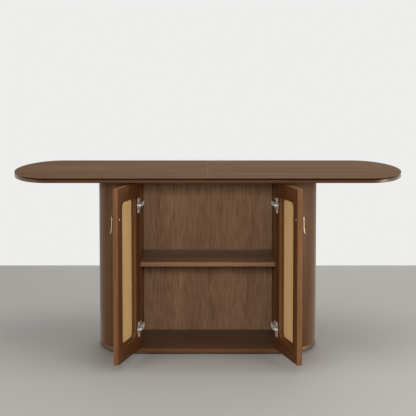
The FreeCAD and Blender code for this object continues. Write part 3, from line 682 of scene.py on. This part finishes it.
def door_frame():
    """Stiles and rails round the window, with the thin lip that the cane lies against. The woods are those of
    the stiles and the rails outside, then inside, where painted shade darkens them."""
    bm = bmesh.new()
    ring = ring_face(bm, 0, CORNER + STILE, STILE, 0)
    square_corners(bm, CORNER + STILE)
    thicken(bm, ring, (0, DOOR_DEEP, 0))
    for x in (HINGE_EDGE + STILE, FREE_EDGE - STILE):
        slice_at(bm, (x, 0, 0), (1, 0, 0))
    ease(bm, DOOR_EASE)
    for z in HINGE_Z:
        cup_pocket(bm, z)
    thicken(bm, ring_face(bm, STILE, CORNER, LIP, LIP_SET), (0, LIP_DEEP - LIP_SET, 0))
    bmesh.ops.recalc_face_normals(bm, faces=bm.faces)
    for face in bm.faces:
        middle = face.calc_center_median()
        rail = HINGE_EDGE + STILE < middle.x < FREE_EDGE - STILE
        # Inner faces and the hinge edge take the darker woods: painted shade
        inside = face.normal.y > 0.5 or middle.x < 5 * MM
        face.material_index = int(rail) + 2 * int(inside)
    return bm


def cane_bead():
    """A small rounded bead that holds the cane in its rebate."""
    bm = bmesh.new()
    ring = ring_face(bm, STILE + BEAD_CLEAR, CORNER - BEAD_CLEAR, LIP - BEAD_CLEAR, LIP_DEEP + CANE_DEEP)
    thicken(bm, ring, (0, BEAD_DEEP, 0))
    ease(bm, BEAD_ROUND, 3)
    return bm


PITCH, STRAND, THICK, WAVE = 4.8 * MM, 4.1 * MM, 0.42 * MM, 0.3 * MM


def strand(bm, length, crossings, phase, tone, upright, place):
    """One wavy strand that goes over and under its neighbours."""
    made = bmesh.ops.create_grid(bm, x_segments=2 * crossings, y_segments=1, size=0.5)["verts"]
    bmesh.ops.scale(bm, vec=(length, STRAND, 1), verts=made)
    for vert in made:
        run = vert.co.x + length / 2
        vert[bm.verts.layers.float_vector["strand_run"]] = Vector((run + tone, vert.co.y + tone, 0))
        vert[bm.verts.layers.float["strand_tone"]] = tone
        vert.co.z = WAVE * math.cos(math.pi * run / PITCH + phase * math.pi)
    if upright:
        bmesh.ops.rotate(bm, cent=(0, 0, 0), matrix=Matrix.Rotation(QUARTER, 3, "Z"), verts=made)
    bmesh.ops.transform(bm, matrix=Matrix.Translation(place) @ TO_FRONT, verts=made)


def tone_of(index, salt):
    """A steady made-up tone between 0.25 and 0.75 for one strand."""
    return 0.25 + 0.5 * (math.sin(12.9898 * index + 78.233 * salt) * 43758.5453 % 1)


def cane_web():
    """A close square weave of split cane that fills the rebate."""
    bm = bmesh.new()
    bm.verts.layers.float_vector.new("strand_run")
    bm.verts.layers.float.new("strand_tone")
    inset = STILE + 1 * MM
    x0, x1, z0, z1 = HINGE_EDGE + inset, FREE_EDGE - inset, DOOR_FOOT + inset, DOOR_HEAD - inset
    middle = LIP_DEEP + CANE_DEEP / 2
    across, up = int((x1 - x0) / PITCH), int((z1 - z0) / PITCH)
    for row in range(up):
        strand(bm, across * PITCH, across, row % 2, tone_of(row, 1), False,
               ((x0 + x1) / 2, middle, z0 + (row + 0.5) * PITCH))
    for column in range(across):
        strand(bm, up * PITCH, up, (column + 1) % 2, tone_of(column, 2), True,
               (x0 + (column + 0.5) * PITCH, middle, (z0 + z1) / 2))
    bmesh.ops.recalc_face_normals(bm, faces=bm.faces)
    bmesh.ops.solidify(bm, geom=bm.faces[:], thickness=THICK)
    return bm


PULL_X, PULL_TOP, PULL_TALL, PULL_WIDE = 281.5 * MM, 621 * MM, 68 * MM, 14 * MM
PULL_GAP, PULL_DEEP, PULL_STRAIGHT, PULL_BOW = 7 * MM, 3.5 * MM, 40 * MM, 80 * MM
PULL_EASE, POST_Z = 1.0 * MM, 608 * MM
POST_RINGS = [(4.9, 0), (4.9, 0.6), (4.1, 1.5), (3.7, 3), (3.7, 6), (4.2, 8)]


def door_pull():
    """A slim metal tab, straight above and bowed away from the door below, on one round post."""
    bm = bmesh.new()
    tab = bmesh.ops.create_grid(bm, x_segments=6, y_segments=34, size=0.5)["verts"]
    bmesh.ops.scale(bm, vec=(PULL_WIDE, PULL_TALL, 1), verts=tab)
    place = Matrix.Translation((PULL_X, -PULL_GAP, PULL_TOP - PULL_TALL / 2)) @ TO_FRONT
    bmesh.ops.transform(bm, matrix=place, verts=tab)
    for vert in tab:
        drop = PULL_TOP - PULL_STRAIGHT - vert.co.z
        if drop > 0:
            vert.co.y -= PULL_BOW - math.sqrt(PULL_BOW ** 2 - drop ** 2)
    thicken(bm, bm.faces[:], (0, -PULL_DEEP, 0))
    ease(bm, PULL_EASE, 3)
    before = set(bm.verts)
    post = bmesh.ops.create_circle(bm, cap_ends=True, segments=40, radius=POST_RINGS[0][0] * MM)["verts"]
    turn_on(bm, edges_at(post), POST_RINGS)
    bmesh.ops.transform(bm, matrix=Matrix.Translation((PULL_X, 0, POST_Z)) @ TO_FRONT,
                        verts=[v for v in bm.verts if v not in before])
    return bm


# Concealed hinges

CUP_RINGS = [(19.5, 0), (17.4, 0), (16.6, -0.4), (16.1, -1.4), (15.9, -11), (14.9, -12)]
CUP_WALL, CUP_EASE, BOWL_RADIUS, BOWL_TOP = 1.4 * MM, 0.35 * MM, 16.6 * MM, 0.9 * MM
FLANGE_DEEP, FLANGE_ARC, FLANGE_REACH = 1.5 * MM, 11.5 * MM, 31 * MM
FLANGE_SPREAD, FLANGE_EDGE, WING_CORNER = 12 / 11.18, 11.9 * MM, 5 * MM
CUP_SCREW_UP, PLATE_SCREW_UP = 24 * MM, 16 * MM
PLATE_LONG, PLATE_WIDE, PLATE_WING, PLATE_THICK = 44 * MM, 16 * MM, 16 * MM, 2.5 * MM
PLATE_CORNER, PLATE_EASE = 3 * MM, 0.6 * MM
PLATE_FACE_X, PLATE_Y = 17 * MM, 56 * MM
ARM_LOW, ARM_HIGH = (19.5 * MM, 26 * MM, -6.5 * MM), (21.5 * MM, 85 * MM, 6.5 * MM)
CHANNEL_HALF, CHEEK_RISE, ARM_EASE = 4 * MM, 2.2 * MM, 0.5 * MM
EAR_RISE, EAR_REACH, EAR_ROUND = 8.6 * MM, 14.3 * MM, 4.2 * MM
LINK_PIN, LINK_PIN_RADIUS, LINK_PIN_LONG = (28 * MM, 16 * MM, 0), 2 * MM, 14 * MM
COVER_LOW, COVER_HIGH = (30.5 * MM, 47 * MM, -9 * MM), (33.8 * MM, 84 * MM, 9 * MM)
COVER_CORNER, COVER_EASE = 3.5 * MM, 1.1 * MM


def hinge_cup():
    """A pressed cup with a flange. Drawn on the XY plane, which is the door's inner face."""
    bm = bmesh.new()
    rim = bmesh.ops.create_circle(bm, segments=72, radius=CUP_RINGS[0][0] * MM)["verts"]
    loop = edges_at(rim)
    for end in (1, -1):
        arc = [e for e in loop if all(v.co.y * end > 0 and abs(v.co.x) < FLANGE_ARC for v in e.verts)]
        wing = verts_of(bmesh.ops.extrude_edge_only(bm, edges=arc)["geom"])
        bmesh.ops.scale(bm, vec=(FLANGE_SPREAD, 0, 1), verts=wing)
        bmesh.ops.translate(bm, vec=(0, end * FLANGE_REACH, 0), verts=wing)
        round_corners(bm, [v for v in wing if abs(v.co.x) > FLANGE_EDGE], WING_CORNER, 6)
    turn_on(bm, loop, CUP_RINGS)
    bmesh.ops.recalc_face_normals(bm, faces=bm.faces)
    if sum(f.normal.z for f in bm.faces) < 0:
        bmesh.ops.reverse_faces(bm, faces=bm.faces[:])
    bmesh.ops.translate(bm, vec=(0, 0, FLANGE_DEEP), verts=bm.verts)
    bmesh.ops.solidify(bm, geom=bm.faces[:], thickness=CUP_WALL)
    ease(bm, CUP_EASE)
    for face in bm.faces:
        middle = face.calc_center_median()
        # The bowl's inside takes the dark steel: painted shade
        face.material_index = int(middle.z < BOWL_TOP and middle.xy.length < BOWL_RADIUS)
    return bm


def hinge_plate():
    """A mounting plate with two wings. Drawn on the XY plane, which is the side panel's face."""
    bm = bmesh.new()
    bmesh.ops.create_grid(bm, x_segments=3, y_segments=1, size=0.5)
    bmesh.ops.scale(bm, vec=(PLATE_LONG, PLATE_WIDE, 1), verts=bm.verts)
    for end in (1, -1):
        edge = [e for e in bm.edges
                if all(v.co.y * end > PLATE_WIDE / 3 and abs(v.co.x) < PLATE_LONG / 4 for v in e.verts)]
        wing = verts_of(bmesh.ops.extrude_edge_only(bm, edges=edge)["geom"])
        bmesh.ops.translate(bm, vec=(0, end * PLATE_WING, 0), verts=wing)
    round_corners(bm, [v for v in bm.verts if abs(v.co.y) > PLATE_WIDE], WING_CORNER, 6)
    round_corners(bm, [v for v in bm.verts if abs(v.co.x) > PLATE_LONG / 3], PLATE_CORNER, 4)
    thicken(bm, bm.faces[:], (0, 0, PLATE_THICK))
    ease(bm, PLATE_EASE)
    return bm


def hinge_arm():
    """A pressed channel with two ears for the link's pin, and a wider cover behind the link's path. Drawn from
    the hinge axis."""
    bm = bmesh.new()
    block(bm, ARM_LOW, ARM_HIGH)
    for z in (-CHANNEL_HALF, CHANNEL_HALF):
        slice_at(bm, (0, 0, z), (0, 0, 1))
    cheeks = faces_where(bm, lambda middle: middle.x > ARM_HIGH[0] - PICK and abs(middle.z) > CHANNEL_HALF)
    for rise in (CHEEK_RISE, EAR_RISE):
        cheeks = bmesh.ops.extrude_discrete_faces(bm, faces=cheeks)["faces"]
        bmesh.ops.translate(bm, vec=(rise, 0, 0), verts=verts_at(cheeks))
    ears = faces_where(bm, lambda middle: middle.y < ARM_LOW[1] + PICK and middle.x > ARM_HIGH[0] + CHEEK_RISE)
    ears = bmesh.ops.extrude_discrete_faces(bm, faces=ears)["faces"]
    tips = verts_at(ears)
    bmesh.ops.translate(bm, vec=(0, -EAR_REACH, 0), verts=tips)
    round_edges(bm, edges_along(edges_at(tips), 2), EAR_ROUND, 8)
    ease(bm, ARM_EASE)
    pin = bmesh.ops.create_cone(bm, cap_ends=True, segments=32, radius1=LINK_PIN_RADIUS,
                                radius2=LINK_PIN_RADIUS, depth=LINK_PIN_LONG)["verts"]
    bmesh.ops.translate(bm, vec=LINK_PIN, verts=pin)
    cover = bmesh.new()
    block(cover, COVER_LOW, COVER_HIGH)
    round_edges(cover, edges_along(cover.edges, 0), COVER_CORNER, 6)
    ease(cover, COVER_EASE, 3)
    cap = bpy.data.meshes.new("hinge_cover_drawing")
    cover.to_mesh(cap)
    cover.free()
    bm.from_mesh(cap)
    bpy.data.meshes.remove(cap)
    return bm


def door_piece(side, name, bm, mats, node, smooth=True):
    finish_piece(name + "_" + side, bm, "door_" + side, mats, [node + "_" + side], ON_DOOR[side], smooth)


def cabinet_piece(side, name, bm, mats, node):
    finish_piece(name + "_" + side, bm, "table", mats, [node + "_" + side], ON_CABINET[side])


for side in ("left", "right"):
    shift = (0.2, 11.3 if side == "left" else 13.9, 1.0)
    along = (0, 0, DOOR_TURN if side == "left" else -DOOR_TURN)
    woods = []
    # The inside woods are darker: painted shade
    for place, stops in (("outside", WARM_WALNUT), ("inside", INSIDE_SHADED_WALNUT)):
        woods += [walnut("walnut_stile_" + place + "_" + side, UPRIGHT, shift, stops),
                  walnut("walnut_rail_" + place + "_" + side, along, shift, stops)]
    # The bead's wood carries painted shade
    bead_wood = walnut("walnut_bead_" + side, UPRIGHT, shift, BEAD_SHADED_WALNUT)
    door_piece(side, "door_frame_wood", door_frame(), woods, "door_frame")
    door_piece(side, "cane_web", cane_web(), [CANE], "cane_panel", False)
    door_piece(side, "cane_bead_wood", cane_bead(), [bead_wood], "cane_bead")
    door_piece(side, "pull_tab", door_pull(), [CHAMPAGNE], "door_pull")
    screw = screws_at(PULL_SCREW, (0, 1, 0), [(PULL_X, DOOR_DEEP, POST_Z)])
    door_piece(side, "pull_screw_set", screw, [STEEL], "pull_screw")
    cup = hinge_cup()
    repeat(cup, [Matrix.Translation((CUP_X, DOOR_DEEP, z)) @ TO_INSIDE for z in HINGE_Z])
    door_piece(side, "hinge_cup_pressing", cup, [NICKEL, SHADE_DARK_STEEL], "hinge_cups")
    screw = screws_at(CUP_SCREW, (0, 1, 0), [(CUP_X, DOOR_DEEP + FLANGE_DEEP, z + end) for z in HINGE_Z
                                             for end in (-CUP_SCREW_UP, CUP_SCREW_UP)])
    door_piece(side, "cup_screw_set", screw, [STEEL], "cup_screws")
    plate = hinge_plate()
    repeat(plate, [facing((1, 0, 0), (PLATE_FACE_X, PLATE_Y, z)) for z in HINGE_Z])
    # The plate takes the dark steel: painted shade
    cabinet_piece(side, "hinge_plate_pressing", plate, [SHADE_DARK_STEEL], "hinge_plates")
    arm = hinge_arm()
    repeat(arm, [Matrix.Translation((0, 0, z)) for z in HINGE_Z])
    cabinet_piece(side, "hinge_arm_pressing", arm, [NICKEL], "hinge_arms")
    screw = screws_at(PLATE_SCREW, (1, 0, 0), [(PLATE_FACE_X + PLATE_THICK, PLATE_Y, z + end) for z in HINGE_Z
                                               for end in (-PLATE_SCREW_UP, PLATE_SCREW_UP)])
    cabinet_piece(side, "plate_screw_set", screw, [STEEL], "plate_screws")


# Stage: pale floor, soft lamps and the camera at the photograph's angle

FLOOR_HALF_WIDE, FLOOR_HALF_DEEP, FLOOR_MIDDLE_Y = 9, 5.5, -3.56
FLOOR_GREY = (0.40, 0.39, 0.365, 1)
BACKDROP, BACKDROP_STRENGTH = (0.85, 0.85, 0.84, 1), 1.0
GLOW, GLOW_STRENGTH = (1, 0.99, 0.98, 1), 0.32
WHITE_LIGHT, GLINT_LIGHT = (1.0, 1.0, 1.0), (1.0, 0.82, 0.66)
CAMERA_PLACE, CAMERA_DIP = (0.001, -5.789, 1.3476), 3.928
CAMERA_LENS, CAMERA_SENSOR, CAMERA_SHIFT, CAMERA_REACH = 116.5, 36, -0.2, 60
LAMPS = [    # name, place, aim, width, height and power
    ("front_lamp", (0.2, -5.2, 1.58), (0.1, 0, 0.5), 4.0, 0.6, 112),
    ("front_left_lamp", (-3.3, -4.2, 1.45), (0, -0.3, 0.5), 2.4, 0.6, 97),
    ("front_right_lamp", (3.3, -4.2, 1.45), (0, -0.3, 0.5), 2.4, 0.6, 100),
    ("left_lamp", (-4.3, -0.5, 1.2), (0, -0.3, 0.6), 1.6, 2.2, 12),
    ("right_lamp", (4.3, -0.5, 1.2), (0, -0.3, 0.6), 1.6, 2.2, 36),
    ("top_lamp", (0.5, -0.6, 3.6), (0, -0.1, 0.7), 3.0, 2.4, 42),
    ("rear_lamp", (0.8, 4.4, 2.6), (0, 0, 0.5), 3.6, 2.0, 90),
]
GLINTS = [
    ("left_glint", (-4.3, -0.5, 1.2), (0, -0.3, 0.6), 1.6, 2.2, 160),
    ("right_glint", (4.3, -0.5, 1.2), (0, -0.3, 0.6), 1.6, 2.2, 520),
]


def stage_floor():
    """A pale floor that ends behind the table, where the white backdrop of the world begins."""
    bm = bmesh.new()
    bmesh.ops.create_grid(bm, x_segments=1, y_segments=1, size=1)
    bmesh.ops.scale(bm, vec=(FLOOR_HALF_WIDE, FLOOR_HALF_DEEP, 1), verts=bm.verts)
    bmesh.ops.translate(bm, vec=(0, FLOOR_MIDDLE_Y, 0), verts=bm.verts)
    mesh = bpy.data.meshes.new("floor")
    bm.to_mesh(mesh)
    bm.free()
    mat, tree, shader = blank_material("pale_floor")
    shader.inputs["Base Color"].default_value = FLOOR_GREY
    shader.inputs["Roughness"].default_value = 0.6
    shader.inputs["Specular IOR Level"].default_value = 0.1
    mesh.materials.append(mat)
    floor = bpy.data.objects.new("floor", mesh)
    scene.collection.objects.link(floor)


def soft_lamp(name, place, aim, width, height, power, glint=False):
    """A lamp that lights the wood, or with glint one that only shows in glossy surfaces."""
    lamp = bpy.data.lights.new(name, "AREA")
    lamp.shape = "RECTANGLE"
    lamp.size, lamp.size_y = width, height
    lamp.energy = power
    lamp.color = GLINT_LIGHT if glint else WHITE_LIGHT
    thing = bpy.data.objects.new(name, lamp)
    thing.location = place
    thing.rotation_mode = "QUATERNION"
    thing.rotation_quaternion = (Vector(aim) - Vector(place)).to_track_quat("-Z", "Y")
    thing.visible_glossy = glint
    thing.visible_diffuse = not glint
    scene.collection.objects.link(thing)


def studio_world():
    """A faint even glow on the object, with a pale backdrop where the camera, gloss or glass sees the world."""
    world = bpy.data.worlds.new("studio")
    scene.world = world
    world.use_nodes = True
    tree = world.node_tree
    tree.nodes.clear()
    out = tree.nodes.new("ShaderNodeOutputWorld")
    glow = tree.nodes.new("ShaderNodeBackground")
    glow.inputs["Color"].default_value = GLOW
    glow.inputs["Strength"].default_value = GLOW_STRENGTH
    backdrop = tree.nodes.new("ShaderNodeBackground")
    backdrop.inputs["Color"].default_value = BACKDROP
    backdrop.inputs["Strength"].default_value = BACKDROP_STRENGTH
    path = tree.nodes.new("ShaderNodeLightPath")
    seen = path.outputs["Is Camera Ray"]
    for ray in ("Is Glossy Ray", "Is Transmission Ray"):
        either = tree.nodes.new("ShaderNodeMath")
        either.operation = "MAXIMUM"
        tree.links.new(seen, either.inputs[0])
        tree.links.new(path.outputs[ray], either.inputs[1])
        seen = either.outputs[0]
    mix = tree.nodes.new("ShaderNodeMixShader")
    tree.links.new(seen, mix.inputs["Fac"])
    tree.links.new(glow.outputs["Background"], mix.inputs[1])
    tree.links.new(backdrop.outputs["Background"], mix.inputs[2])
    tree.links.new(mix.outputs["Shader"], out.inputs["Surface"])


def photo_camera():
    data = bpy.data.cameras.new("photo_camera")
    data.lens, data.sensor_width = CAMERA_LENS, CAMERA_SENSOR
    data.shift_y = CAMERA_SHIFT
    data.clip_end = CAMERA_REACH
    camera = bpy.data.objects.new("photo_camera", data)
    camera.location = CAMERA_PLACE
    camera.rotation_euler = (math.radians(90 - CAMERA_DIP), 0, 0)
    scene.collection.objects.link(camera)
    scene.camera = camera


stage_floor()
for lamp in LAMPS:
    soft_lamp(*lamp)
for lamp in GLINTS:
    soft_lamp(*lamp, glint=True)
studio_world()
photo_camera()
scene.view_settings.view_transform = "Standard"
